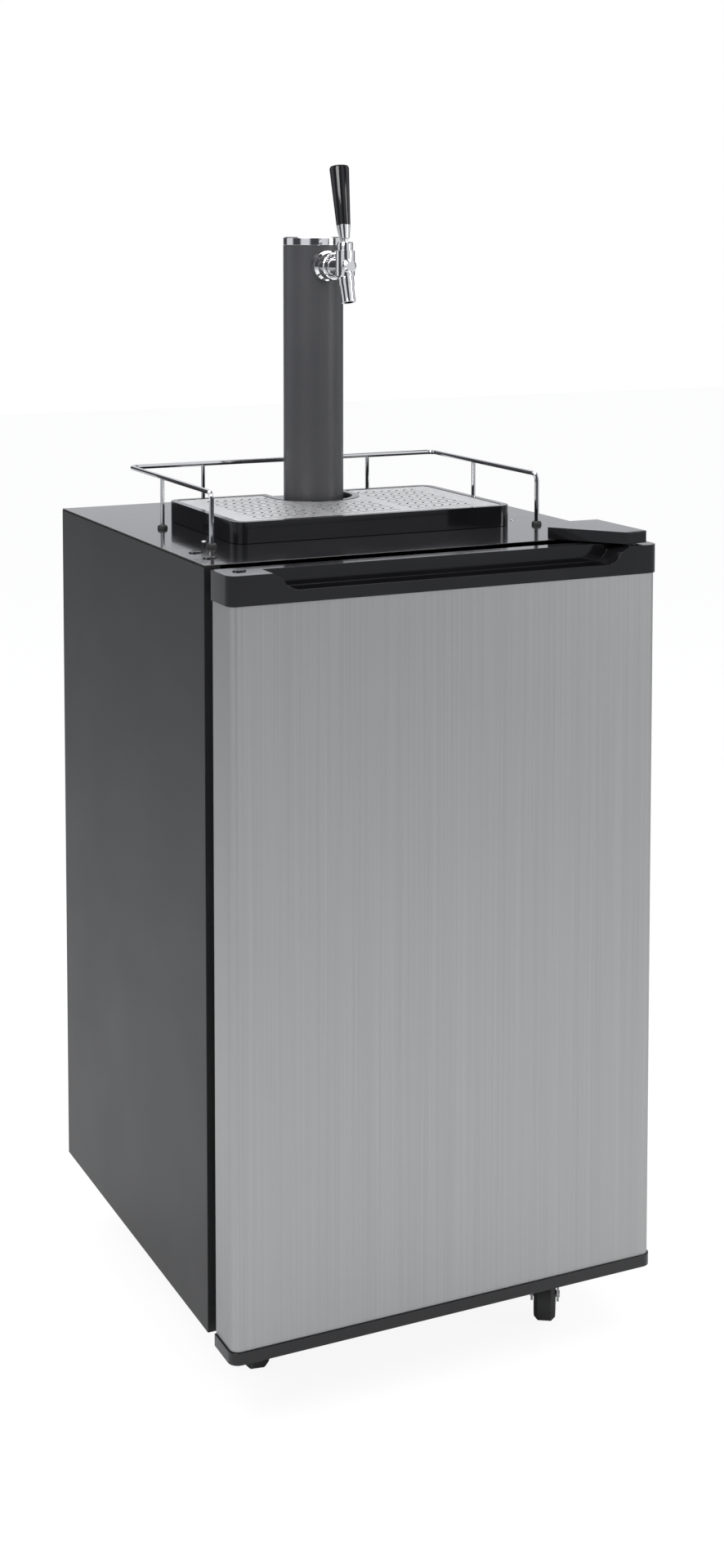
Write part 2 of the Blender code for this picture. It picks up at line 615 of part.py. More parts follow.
# ---- tower, faucet and rail ----------------------------------------------------------------------
def make_tower():
    foot = BODY_HEIGHT + GAP
    inside = TOWER_RADIUS - TOWER_WALL
    profile = [
        (inside - 4, foot), (TOWER_FLANGE, foot), (TOWER_FLANGE, foot + TOWER_FLANGE_THICK - 1),
        (TOWER_FLANGE - 1, foot + TOWER_FLANGE_THICK), (TOWER_RADIUS, foot + TOWER_FLANGE_THICK),
        (TOWER_RADIUS, TOWER_TOP - TOWER_CAP), (inside, TOWER_TOP - TOWER_CAP),
        (inside, foot + TOWER_FLANGE_THICK), (inside - 4, foot + TOWER_FLANGE_THICK),
    ]
    column = lathe(profile, (0, TOWER_Y, 0), Z_AXIS, 32)
    hole = rod((0, TOWER_FRONT - 9, TAP_Z), (0, TOWER_Y, TAP_Z), SHANK_RADIUS + 0.5)
    piece("tower_column", cut(column, hole), "tower_grey")

    top = TOWER_TOP
    skirt = inside - GAP
    profile = [
        (0, top), (TOWER_RADIUS - 1, top), (TOWER_RADIUS + 0.2, top - 1.2), (TOWER_RADIUS + 0.2, top - TOWER_CAP + GAP),
        (skirt, top - TOWER_CAP + GAP), (skirt, top - TOWER_CAP - 8), (skirt - 2, top - TOWER_CAP - 8),
        (skirt - 2, top - 2.5), (0, top - 2.5),
    ]
    piece("tower_cap", lathe(profile, (0, TOWER_Y, 0), Z_AXIS, 32), "chrome")

    tail = TOWER_Y - 13
    nose = FAUCET_Y + 28
    profile = [(SHANK_BORE, 0), (SHANK_RADIUS, 0), (SHANK_RADIUS, tail - nose - 12),
               (SHANK_RADIUS * 0.6, tail - nose - 11), (SHANK_RADIUS * 0.6, tail - nose), (SHANK_BORE, tail - nose)]
    piece("faucet_shank", lathe(profile, (0, nose, TAP_Z), Y_AXIS, 24), "chrome")

    wide, bore = 19.0, SHANK_RADIUS + 0.4
    collar = lathe([(bore, 0), (wide - 4, 0), (wide, 5), (wide, 22), (bore, 22)],
                   (0, TOWER_FRONT - 13, TAP_Z), Y_AXIS, 24)
    saddle = rod((0, TOWER_Y, TAP_Z - 40), (0, TOWER_Y, TAP_Z + 40), TOWER_RADIUS + GAP, 32)
    piece("shank_collar", cut(collar, saddle), "chrome")

    nut_bore = NECK_RADIUS + GAP
    nut = [(nut_bore, 0), (15.5, 0), (17, 1.5), (17, 15.5), (15.5, 17), (nut_bore, 17)]
    piece("coupling_nut", lathe(nut, (0, TOWER_FRONT - 13 - GAP - 17, TAP_Z), Y_AXIS, 24), "chrome")

    inner_nut = [(SHANK_RADIUS + GAP, 0), (15.5, 0), (15.5, 8), (SHANK_RADIUS + GAP, 8)]
    nut_y = TOWER_Y - math.sqrt(inside ** 2 - 15.5 ** 2) + GAP
    piece("shank_nut", lathe(inner_nut, (0, nut_y, TAP_Z), Y_AXIS, 18), "brass")

    route = [
        (0, tail + 3 * GAP, TAP_Z), (0, tail + 9, TAP_Z), (0, TOWER_Y + 10, TAP_Z - 7),
        (0, TOWER_Y + 18, TAP_Z - 26), (0, TOWER_Y + 17, TAP_Z - 60), (0, TOWER_Y + 9, TAP_Z - 115),
        (0, TOWER_Y + 2, TAP_Z - 180), (0, TOWER_Y, BODY_HEIGHT + 80), (0, TOWER_Y, BODY_HEIGHT),
        (0, TOWER_Y, INNER_TOP - 10), (0, TOWER_Y + 3, 750), (-20, 335, 680), (-54, 365, 600),
        (COUPLER_X + 8, COUPLER_Y - 6, 510), (COUPLER_X, COUPLER_Y, 440), (COUPLER_X, COUPLER_Y, HUMP_TOP + 108 + 2 * GAP),
    ]
    piece("beer_line", tube(smooth_route(route, 3), BEER_HOSE), "hose")


def make_faucet():
    top = PIVOT_Z - 4
    barrel = lathe([(0, TAP_Z - 13), (BARREL_RADIUS - 2, TAP_Z - 13), (BARREL_RADIUS, TAP_Z - 11),
                    (BARREL_RADIUS, top - GAP), (0, top - GAP)], (0, FAUCET_Y, 0), Z_AXIS, 24, 0.3)
    neck = rod((0, FAUCET_Y, TAP_Z), (0, FAUCET_Y + 28 - GAP, TAP_Z), NECK_RADIUS, 24, 0.5)
    boss = lathe([(0, 0), (6, 0), (8.4, 2.4), (8.4, 17), (0, 17)], (0, FAUCET_Y - 17, TAP_Z + 1), Y_AXIS, 24, 0.2)
    mouth = Vector((0, FAUCET_Y - 11, TAP_Z - 43.6))
    root = Vector((0, FAUCET_Y, TAP_Z - 4))
    length = (mouth - root).length
    spout = lathe([(0, 0), (9.6, 0), (9.6, length * 0.45), (8.6, length * 0.55), (8.6, length), (0, length)],
                  root, mouth - root, 28, 0.4)
    bore = rod((0, FAUCET_Y - 13, TAP_Z), (0, FAUCET_Y + 40, TAP_Z), PLUNGER_BORE, 24, 0.15)
    slot = box((-3.2, FAUCET_Y - 8.5, TAP_Z), (3.2, FAUCET_Y + 10.5, top + 5))
    past = mouth + (mouth - root).normalized() * 6
    drain = rod(root + Vector((0, -1, 3)), past, 6.0, 24, 0.25)
    body = cut(join(barrel, neck, boss, spout), bore, slot, drain)
    piece("faucet_body", body, "chrome")

    seat = LEVER_BALL + 0.35
    bonnet = [(7.4, -4), (10, -4), (10, 4.5), (8.8, 6.5), (7.6, 6.5), (seat, 2.4), (seat, -2.2)]
    piece("faucet_bonnet", lathe(bonnet, (0, FAUCET_Y, PIVOT_Z), Z_AXIS, 32), "chrome")

    axis = axis_at("faucet_axis", (0, FAUCET_Y, PIVOT_Z))
    pivot = (0, FAUCET_Y, PIVOT_Z)
    profile = [(0, -LEVER_RISE - 2.4), (1.7, -LEVER_RISE - 1.7), (2.4, -LEVER_RISE), (2.4, -4.4)]
    profile += [(r, s) for r, s in sphere_arc(LEVER_BALL, 150, 46, 6)]
    profile += [(3.6, 9.6), (2.8, 10), (2.8, 42), (0, 42)]
    piece("faucet_lever", lathe(profile, pivot, LEVER_AXIS, 20), "chrome", axis)
    low = 10.2
    high = low + FERRULE_LENGTH
    ferrule = [(3.9, low), (6.4, low), (HANDLE_FOOT, high), (3.1, high), (3.1, low + 2), (3.9, low + 1)]
    piece("handle_ferrule", lathe(ferrule, pivot, LEVER_AXIS, 20), "chrome", axis)
    low = high + GAP
    high = low + HANDLE_LENGTH
    grip = [(0, 44), (3.1, 43), (3.1, low), (HANDLE_FOOT, low), (HANDLE_TOP - 0.2, high - 8),
            (HANDLE_TOP, high - 4), (HANDLE_TOP - 1.2, high - 1), (HANDLE_TOP - 4, high), (0, high)]
    piece("tap_handle", lathe(grip, pivot, LEVER_AXIS, 24), "gloss_black", axis)

    tip_y = FAUCET_Y - LEVER_RISE * math.sin(LEAN)
    front, rear = tip_y - 5.0, tip_y + 3.9
    disc = PLUNGER_BORE - 0.4
    lead = rod((0, front - 2.6, TAP_Z), (0, front, TAP_Z), disc, 20)
    web = box((-2.4, front - 2, TAP_Z - PLUNGER_BORE + 1), (2.4, rear + 2, TAP_Z - 3.1))
    head = lathe([(0, 0), (disc, 0), (disc, 2.6), (2.6, 3), (2.6, 10), (disc, 11), (disc, 14), (0, 14)],
                 (0, rear, TAP_Z), Y_AXIS, 20)
    piece("faucet_plunger", join(head, lead, web), "brass", axis_at("plunger_axis", (0, tip_y, TAP_Z)))


def tray_outline(inset):
    """Round-cornered tray with a round notch around the tower, seen from above."""
    side, front, back = TRAY_HALF - inset, TRAY_FRONT + inset, TRAY_BACK - inset
    corner = max(TRAY_CORNER - inset, 3.0)
    notch = TOWER_FLANGE + NOTCH_CLEAR + inset
    points = arc((-side + corner, front + corner), corner, 180, 270, 5)
    points += arc((side - corner, front + corner), corner, 270, 360, 5)
    points += arc((side - corner, back - corner), corner, 0, 90, 5)
    points += [(notch, back)]
    points += arc((0, TOWER_Y), notch, 0, -180, 14)
    points += [(-notch, back)]
    points += arc((-side + corner, back - corner), corner, 90, 180, 5)
    return points


def make_tray():
    low = BODY_HEIGHT + GAP
    high = low + TRAY_HEIGHT
    tray = prism(tray_outline(0), "Z", low, high)
    ledge = high - GRILLE_THICK - 1.0
    basin = prism(tray_outline(TRAY_RIM + GRILLE_LEDGE), "Z", low + TRAY_FLOOR, high + 5)
    recess = prism(tray_outline(TRAY_RIM), "Z", ledge, high + 5)
    lift = axis_at("tray_axis", (0, TRAY_FRONT, low))
    piece("drip_tray", cut(tray, basin, recess), "gloss_black", lift)
    grille = prism(tray_outline(TRAY_RIM + GAP), "Z", ledge + GAP, ledge + GAP + GRILLE_THICK)
    piece("drip_grille", grille, "brushed_steel", axis_at("grille_axis", (0, TRAY_FRONT, ledge + GAP)))


def make_rail():
    foot = BODY_HEIGHT + GAP
    corners = [
        (-RAIL_HALF, RAIL_FRONT, foot), (-RAIL_HALF, RAIL_FRONT, RAIL_Z), (-RAIL_HALF, RAIL_BACK, RAIL_Z),
        (RAIL_HALF, RAIL_BACK, RAIL_Z), (RAIL_HALF, RAIL_FRONT, RAIL_Z), (RAIL_HALF, RAIL_FRONT, foot),
    ]
    rail = tube(bent_wire(corners, RAIL_BEND, 5), RAIL_WIRE, 2)
    posts = []
    for x, y in ((-RAIL_HALF, SIDE_POST_Y), (RAIL_HALF, SIDE_POST_Y), (-BACK_POST_X, RAIL_BACK),
                 (BACK_POST_X, RAIL_BACK)):
        posts.append(rod((x, y, foot), (x, y, RAIL_Z + RAIL_WIRE / 4), RAIL_POST, 12, 0.3))
    piece("guard_rail", join(rail, *posts), "chrome")


# ---- gas side ------------------------------------------------------------------------------------
def make_gas():
    x, y = CYLINDER_X, CYLINDER_Y
    base = HUMP_TOP + GAP
    radius, height = CYLINDER_RADIUS, CYLINDER_HEIGHT
    profile = [(0, 3), (radius - 12, 3), (radius - 8, 0), (radius - 3, 1), (radius, 6), (radius, height * 0.8)]
    profile += [(radius * 0.92, height * 0.87), (radius * 0.7, height * 0.935), (radius * 0.35, height * 0.965),
                (15, height * 0.98), (15, height), (0, height)]
    piece("co2_cylinder", lathe(profile, (x, y, base), Z_AXIS, 24), "grey_paint")

    valve_z = base + height + GAP
    outlet_z = valve_z + 30
    stem = lathe([(0, 0), (VALVE_RADIUS, 0), (VALVE_RADIUS, 46), (8, 50), (8, 58), (0, 58)],
                 (x, y, valve_z), Z_AXIS, 20)
    outlet = rod((x, y, outlet_z), (x, y - 26, outlet_z), 9, 16)
    piece("cylinder_valve", join(stem, outlet), "brass")
    wheel_at = (x, y, valve_z + 58 + GAP)
    wheel = lathe([(0, 0), (9, 0), (20, 4), (22, 8), (20, 12), (9, 11), (0, 13)], wheel_at, Z_AXIS, 24)
    dents = []
    for k in range(6):
        turn = math.radians(60 * k)
        spot = (wheel_at[0] + 25 * math.cos(turn), wheel_at[1] + 25 * math.sin(turn))
        dents.append(rod((*spot, wheel_at[2] - 2), (*spot, wheel_at[2] + 15), 6, 12))
    piece("valve_handwheel", cut(wheel, *dents), "gloss_black", axis_at("handwheel_axis", wheel_at))

    start = y - 26 - GAP
    profile = [(0, 0), (12, 0), (12, 14), (7, 16), (7, 22), (24, 24), (26, 26), (26, 44), (24, 46), (17, 48),
               (15, 68), (0, 68)]
    body = lathe(profile, (x, start, outlet_z), -Y_AXIS, 20)
    body_y = start - 35
    spigot = rod((x, body_y, outlet_z - 20), (x, body_y, outlet_z - 44), 6, 12)
    piece("regulator_body", join(body, spigot), "brass")
    knob_at = (x, start - 68 - GAP, outlet_z)
    knob = lathe([(0, 0), (15, 0), (16, 2), (14, 20), (12, 22), (0, 22)], knob_at, -Y_AXIS, 12)
    piece("regulator_knob", knob, "gloss_black", axis_at("regulator_axis", knob_at))
    for name, centre, inward in (("gauge_keg", (x - 52, body_y, outlet_z), X_AXIS),
                                 ("gauge_cylinder", (x, body_y, outlet_z + 52), -Z_AXIS)):
        centre = Vector(centre)
        dial = lathe([(0, -9), (20, -9), (22, -7), (22, 11), (20, 12), (18, 12), (18, 10), (0, 10)], centre,
                     -Y_AXIS, 20)
        stem = rod(centre + inward * 10, centre + inward * (26 - GAP), 4, 10)
        piece(name, join(dial, stem), "brass")

    outlet = (x, body_y, outlet_z - 44 - 3 * GAP)
    route = [
        outlet, (x, body_y - 1, outlet[2] - 22), (x - 12, HUMP_FRONT - 6, outlet[2] - 75),
        (x - 52, HUMP_FRONT + 6, outlet[2] - 150), (x - 100, HUMP_FRONT + 30, outlet[2] - 215),
        (x - 150, COUPLER_Y - 16, outlet[2] - 262), (COUPLER_X + 56, COUPLER_Y, HUMP_TOP + 52),
        (COUPLER_X + 34 + 3 * GAP, COUPLER_Y, HUMP_TOP + 50),
    ]
    piece("gas_hose", tube(smooth_route(route, 4), GAS_HOSE), "hose")


def make_coupler():
    x, y = COUPLER_X, COUPLER_Y
    base = HUMP_TOP + GAP
    profile = [
        (24, 0), (32, 0), (32, 25), (22, 29), (22, 63), (14, 69), (14, 85), (6, 89), (6, 108),
        (3, 108), (3, 76), (8.4, 73), (8.4, 27), (24, 27),
    ]
    body = lathe(profile, (x, y, base), Z_AXIS, 20)
    inlet = rod((x + 16, y, HUMP_TOP + 50), (x + 34, y, HUMP_TOP + 50), 5.5, 14)
    pivot = (x - 30, y, base + 48)
    ears = []
    for side in (-1, 1):
        ears.append(box((x - 36, y + side * 7.5 - 2, base + 42), (x - 14, y + side * 7.5 + 2, base + 56)))
    passage = rod((x, y, base - 2), (x, y, base + 73), 8.4, 20)
    piece("keg_coupler", cut(join(body, inlet, *ears), passage), "chrome")

    probe = lathe([(4, 18), (7, 18), (8, 21), (8, 60), (4, 60)], (x, y, base), Z_AXIS, 24)
    piece("coupler_probe", probe, "zinc", axis_at("probe_axis", (x, y, base + 18)))

    hub = rod((pivot[0], y - 5, pivot[2]), (pivot[0], y + 5, pivot[2]), 5.5, 16)
    reach = 92
    outline = [(pivot[0] - 1, pivot[2] - 4), (pivot[0] - 30, pivot[2] + 8), (pivot[0] - reach, pivot[2] + 30),
               (pivot[0] - reach, pivot[2] + 41), (pivot[0] - 28, pivot[2] + 20), (pivot[0] - 1, pivot[2] + 5)]
    arm = prism(outline, "Y", y - 4.6, y + 4.6)
    piece("coupler_handle", join(hub, arm), "gloss_black", axis_at("coupler_axis", pivot))


# ---- casters -------------------------------------------------------------------------------------


def caster_places():
    return {
        "front_left": (-CASTER_X, CASTER_FRONT), "front_right": (CASTER_X, CASTER_FRONT),
        "rear_left": (-CASTER_X, CASTER_REAR), "rear_right": (CASTER_X, CASTER_REAR),
    }


def swung(place, angle, point):
    """A point of a caster, given as (across, ahead, z), turned about its stem."""
    turn = math.radians(angle)
    across, ahead, z = point
    return (place[0] + across * math.cos(turn) + ahead * math.sin(turn),
            place[1] + across * math.sin(turn) - ahead * math.cos(turn), z)


def swung_prism(place, angle, outline, low, high, along="across"):
    """Extrude a (level, z) outline across a caster, or ahead along it."""
    bm = bmesh.new()
    sides = []
    for reach in (low, high):
        ring = []
        for level, z in outline:
            point = (reach, level, z) if along == "across" else (level, reach, z)
            ring.append(bm.verts.new(put(swung(place, angle, point))))
        sides.append(ring)
    bm.faces.new(sides[0])
    bm.faces.new(sides[1])
    for i in range(len(outline)):
        j = (i + 1) % len(outline)
        bm.faces.new((sides[0][i], sides[0][j], sides[1][j], sides[1][i]))
    return finish_mesh("plate", bm)


def make_caster(label, place, angle):
    crown = SOCKET_BOTTOM - GAP
    axle_z = WHEEL_RADIUS - GROUND
    inside = WHEEL_WIDTH / 2 + 1.5
    outside = inside + FORK_SHEET
    trail = CASTER_TRAIL
    leg = [(-16, crown), (16, crown), (22, crown - 6), (trail + 9, axle_z + 6), (trail + 8, axle_z - 6),
           (trail - 8, axle_z - 6), (trail - 14, axle_z + 12), (-16, crown - 14)]
    legs = [swung_prism(place, angle, leg, side * inside, side * outside) for side in (-1, 1)]
    web = inside + FORK_SHEET / 2
    deck = swung_prism(place, angle, [(-15, crown - 0.4), (15, crown - 0.4), (15, crown - 3.4), (-15, crown - 3.4)],
                       -web, web)
    stem = rod((*place, crown - 2), (*place, PAN_TOP - 0.5), STEM_RADIUS, 20)
    left = swung(place, angle, (-outside - 1, trail, axle_z))
    right = swung(place, angle, (outside + 1, trail, axle_z))
    axle = rod(left, right, AXLE, 16)
    swivel = axis_at("caster_axis_" + label, (*place, 0))
    piece("caster_fork_" + label, join(deck, stem, *legs, axle), "zinc", swivel)

    hub = swung(place, angle, (0, trail, axle_z))
    across = Vector(right) - Vector(left)
    half, radius = WHEEL_WIDTH / 2, WHEEL_RADIUS
    tread = [(AXLE + GAP, -half), (9, -half), (11, -half + 3), (radius - 8, -half + 3), (radius - 5, -half),
             (radius, -half + 5), (radius, half - 5), (radius - 5, half), (radius - 8, half - 3),
             (11, half - 3), (9, half), (AXLE + GAP, half)]
    spin = axis_at("wheel_axis_" + label, hub)
    piece("caster_wheel_" + label, lathe(tread, hub, across, 24), "rubber", spin)

    if label.startswith("front"):
        pedal_z = crown - 12
        edge = outside + GAP + 3
        barrel = rod(swung(place, angle, (edge, -9, pedal_z)), swung(place, angle, (edge, 9, pedal_z)), 3, 12)
        tread = [(edge, pedal_z - 1.2), (edge + 24, pedal_z - 3.2), (edge + 24, pedal_z + 2),
                 (edge + 21.6, pedal_z + 2), (edge + 21.6, pedal_z - 0.8), (edge, pedal_z + 1.2)]
        plate = swung_prism(place, angle, tread, -8.6, 8.6, "ahead")
        press = axis_at("pedal_axis_" + label, swung(place, angle, (edge, 0, pedal_z)))
        piece("brake_pedal_" + label, join(barrel, plate), "zinc", press)


def main():
    clear_scene()
    make_shell()
    make_cooling()
    make_interior()
    make_hinges()
    make_door()
    make_tower()
    make_faucet()
    make_tray()
    make_rail()
    make_gas()
    make_coupler()
    for label, place in caster_places().items():
        make_caster(label, place, SWIVELS[label])


main()
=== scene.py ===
# %% [markdown]
# A kegerator in a pale studio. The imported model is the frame: nothing in it moves or changes size. The cells
# below load it, make the finishes, build the small details that ride on its bodies, and light the result.

# %% Load the frame
import json
import math

import bmesh
import bpy
from mathutils import Matrix, Vector


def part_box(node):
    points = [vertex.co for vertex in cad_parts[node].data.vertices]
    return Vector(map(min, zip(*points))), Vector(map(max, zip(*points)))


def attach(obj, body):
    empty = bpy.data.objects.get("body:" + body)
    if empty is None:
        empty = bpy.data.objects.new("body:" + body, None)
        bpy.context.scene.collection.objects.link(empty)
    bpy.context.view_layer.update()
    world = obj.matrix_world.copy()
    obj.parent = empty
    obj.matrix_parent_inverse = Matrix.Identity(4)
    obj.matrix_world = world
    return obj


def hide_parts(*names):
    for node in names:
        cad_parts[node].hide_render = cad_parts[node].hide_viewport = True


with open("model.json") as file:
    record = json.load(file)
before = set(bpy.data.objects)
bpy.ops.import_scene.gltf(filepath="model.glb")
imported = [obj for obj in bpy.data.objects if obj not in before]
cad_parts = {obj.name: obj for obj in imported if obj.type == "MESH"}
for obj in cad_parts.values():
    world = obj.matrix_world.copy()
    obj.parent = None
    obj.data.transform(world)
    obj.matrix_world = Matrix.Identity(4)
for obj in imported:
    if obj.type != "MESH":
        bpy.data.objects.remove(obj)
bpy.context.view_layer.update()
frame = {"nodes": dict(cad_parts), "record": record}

MM = 0.001

# %% [markdown]
# Shader maths reads better as sums than as chains of boxes. A Value wraps one output socket, and plus, minus,
# times and divide on it add Math nodes. Every other node goes through Finish.node: its type, its settings,
# then its inputs.

# %% Values that can be added up
class Value:
    def __init__(self, finish, socket):
        self.finish, self.socket = finish, socket

    def math(self, operation, first, *others):
        return self.finish.node("ShaderNodeMath", {"operation": operation},
                                dict(enumerate((first, *others))))

    def __add__(self, other):
        return self.math("ADD", self, other)

    def __sub__(self, other):
        return self.math("SUBTRACT", self, other)

    def __mul__(self, other):
        return self.math("MULTIPLY", self, other)

    def __truediv__(self, other):
        return self.math("DIVIDE", self, other)

    def __rsub__(self, other):
        return self.math("SUBTRACT", other, self)

    def __rtruediv__(self, other):
        return self.math("DIVIDE", other, self)

    __radd__ = __add__
    __rmul__ = __mul__

    def clamp(self, low=0.0, high=1.0):
        return self.math("MINIMUM", self.math("MAXIMUM", self, low), high)


class Graph:
    """A node tree whose nodes are added one call at a time."""

    def __init__(self, tree):
        self.tree = tree

    def feed(self, socket, value):
        if isinstance(value, Value):
            self.tree.links.new(value.socket, socket)
        else:
            socket.default_value = value

    def node(self, kind, settings, inputs, output=0):
        new = self.tree.nodes.new(kind)
        for key, value in settings.items():
            setattr(new, key, value)
        for key, value in inputs.items():
            self.feed(new.inputs[key], value)
        return Value(self, new.outputs[output])


class Finish(Graph):
    """One material with a Principled surface, and the nodes that feed it."""

    def __init__(self, name, roughness=0.5, metallic=0.0, coat=0.0, color=(0.5, 0.5, 0.5)):
        self.material = bpy.data.materials.new(name)
        self.material.use_nodes = True
        super().__init__(self.material.node_tree)
        self.surface = self.tree.nodes["Principled BSDF"]
        self.set("Roughness", roughness)
        self.set("Metallic", metallic)
        self.set("Coat Weight", coat)
        self.set("Base Color", (*color, 1))

    def set(self, name, value):
        self.feed(self.surface.inputs[name], value)

    def place(self, stretch=(1, 1, 1)):
        """Where the surface is, in metres, with each axis scaled."""
        where = self.node("ShaderNodeTexCoord", {}, {}, "Object")
        return self.node("ShaderNodeVectorMath", {"operation": "MULTIPLY"}, {0: where, 1: stretch})

    def noise(self, scale, detail=3.0, stretch=(1, 1, 1)):
        return self.node("ShaderNodeTexNoise", {}, {"Vector": self.place(stretch), "Scale": scale,
                                                    "Detail": detail}, "Fac")

    def blend(self, amount, low, high):
        return self.node("ShaderNodeMix", {"data_type": "RGBA"},
                         {"Factor": amount, 6: (*low, 1), 7: (*high, 1)}, 2)

    def bump(self, height, depth, strength=1.0):
        self.set("Normal", self.node("ShaderNodeBump", {}, {"Height": height, "Distance": depth,
                                                            "Strength": strength}))


# %% [markdown]
# One function for each family of finish. Each has the thing that a hand would feel or an eye would catch on
# the real one: powder coat's fine orange peel, the long vertical grain of brushed steel, smears on gloss.

# %% Finishes
SHEEN = 0.28             # how strongly black paint and plastic mirror the room


def powder_coat(name, dark, light, roughness):
    coat = Finish(name, roughness)
    coat.set("Specular IOR Level", SHEEN)
    mottle = coat.noise(9.0)
    coat.set("Base Color", coat.blend(mottle, dark, light))
    coat.set("Roughness", roughness - 0.05 + mottle * 0.1)
    coat.bump(coat.noise(1400.0, 2.0), 0.00012, 0.5)
    return coat.material


def gloss(name, dark, light, roughness=0.08):
    shine = Finish(name, roughness, coat=0.25)
    shine.set("Specular IOR Level", SHEEN)
    smear = shine.noise(14.0, 5.0)
    shine.set("Base Color", shine.blend(smear, dark, light))
    shine.set("Roughness", roughness + smear * smear * 0.14)
    shine.bump(shine.noise(60.0, 1.0), 0.0004, 0.12)
    return shine.material


def brushed(name, dark, light, stretch):
    steel = Finish(name, 0.32, metallic=1.0)
    fine = steel.noise(1.0, 4.0, stretch)
    broad = steel.noise(0.25, 3.0, stretch)
    cloud = steel.noise(3.0, 2.0)
    streak = ((fine * 0.45 + broad * 0.55 - 0.5) * 1.3 + 0.5).clamp()
    steel.set("Base Color", steel.blend((streak * 0.85 + cloud * 0.15).clamp(), dark, light))
    steel.set("Roughness", 0.34 + fine * 0.14 + cloud * 0.06)
    steel.bump(fine, 0.0002, 0.3)
    return steel.material


def polished(name, color, roughness=0.05):
    metal = Finish(name, roughness, metallic=1.0, color=color)
    haze = metal.noise(40.0, 4.0)
    metal.set("Roughness", roughness + haze * haze * 0.12)
    metal.bump(metal.noise(500.0, 2.0), 0.00005, 0.2)
    return metal.material


def plated(name, dark, light):
    zinc = Finish(name, 0.38, metallic=1.0)
    bloom = zinc.noise(120.0, 5.0)
    zinc.set("Base Color", zinc.blend(bloom, dark, light))
    zinc.set("Roughness", 0.3 + bloom * 0.25)
    zinc.bump(zinc.noise(700.0, 2.0), 0.0001, 0.4)
    return zinc.material


def moulded(name, dark, light, roughness, grain=900.0, depth=0.0001):
    plastic = Finish(name, roughness)
    shade = plastic.noise(12.0)
    plastic.set("Base Color", plastic.blend(shade, dark, light))
    plastic.set("Roughness", roughness + shade * 0.08)
    plastic.bump(plastic.noise(grain, 2.0), depth, 0.5)
    return plastic.material


FINISHES = {
    "satin_black": powder_coat("satin_black", (0.008, 0.008, 0.009), (0.014, 0.014, 0.015), 0.40),
    "tower_grey": powder_coat("tower_grey", (0.050, 0.050, 0.054), (0.070, 0.070, 0.074), 0.34),
    "grey_paint": powder_coat("grey_paint", (0.27, 0.28, 0.29), (0.33, 0.34, 0.35), 0.35),
    "gloss_black": gloss("gloss_black", (0.006, 0.006, 0.007), (0.012, 0.012, 0.013)),
    "brushed_steel": brushed("brushed_steel", (0.30, 0.30, 0.30), (0.42, 0.42, 0.42), (1300, 1300, 4)),
    "chrome": polished("chrome", (0.78, 0.78, 0.79)),
    "brass": polished("brass", (0.62, 0.45, 0.18), 0.18),
    "zinc": plated("zinc", (0.42, 0.42, 0.43), (0.60, 0.60, 0.61)),
    "liner_white": moulded("liner_white", (0.76, 0.76, 0.75), (0.84, 0.84, 0.83), 0.3),
    "knob_grey": moulded("knob_grey", (0.50, 0.51, 0.53), (0.58, 0.59, 0.61), 0.3),
    "hose": moulded("hose", (0.56, 0.56, 0.54), (0.68, 0.68, 0.66), 0.22),
    "foam": moulded("foam", (0.70, 0.62, 0.40), (0.80, 0.72, 0.50), 0.8, 260.0, 0.0006),
    "rubber": moulded("rubber", (0.014, 0.014, 0.014), (0.030, 0.030, 0.030), 0.6),
}
PRESSED = plated("pressed_steel", (0.60, 0.60, 0.60), (0.74, 0.74, 0.74))
INK = moulded("dial_ink", (0.01, 0.01, 0.01), (0.02, 0.02, 0.02), 0.5)
DIAL = moulded("dial_white", (0.82, 0.82, 0.80), (0.88, 0.88, 0.86), 0.35)

SLOT_OF = {entry["node"]: entry["material_slot"] for entry in frame["record"]["subparts"]}
for name, item in frame["nodes"].items():
    for held in item.material_slots:
        held.material = FINISHES[SLOT_OF[name]]
print("finishes:", len(FINISHES), "on", len(SLOT_OF), "nodes")

# %% [markdown]
# The frame's pieces are faceted, because they also serve as solids. What shows is a copy of each, with its
# split edges merged, its round stretches shaded as round, and a small bevel on its sharp edges, so that light
# catches them as it does on folded sheet and moulded plastic.

# %% Softened copies of the frame's pieces
BODY_OF = {node: body for body, nodes in frame["record"]["behaviour"]["bodies"].items() for node in nodes}
BEVELS = {"sheet": 0.8, "moulding": 1.6, "turning": 0.4}
SHEETS = ("top_panel", "side_panel_left", "side_panel_right", "back_panel", "base_pan", "door_skin",
          "bay_wall", "top_hinge_bracket", "bottom_hinge_bracket")
MOULDINGS = ("door_top_cap", "door_bottom_cap", "door_liner", "inner_liner", "drip_tray", "door_gasket",
             "thermostat_housing", "top_hinge_cover", "compressor")
HIDDEN = ("insulation_foam", "door_foam", "drip_grille")


def add(name, data):
    item = bpy.data.objects.new(name, data)
    bpy.context.collection.objects.link(item)
    return item


def made(work, mesh):
    """Writes a bmesh into a mesh, named or given, and frees it."""
    mesh = bpy.data.meshes.new(mesh) if isinstance(mesh, str) else mesh
    work.to_mesh(mesh)
    work.free()
    return mesh


def shown(name, mesh, body, slot, finish=None):
    """A new piece that rides on a body, in one of the part's finishes."""
    item = add(name, mesh)
    mesh.materials.clear()
    mesh.materials.append(finish or FINISHES[slot])
    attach(item, body)
    return item


def round_off(mesh, degrees=35):
    mesh.shade_smooth()
    mesh.set_sharp_from_angle(angle=math.radians(degrees))


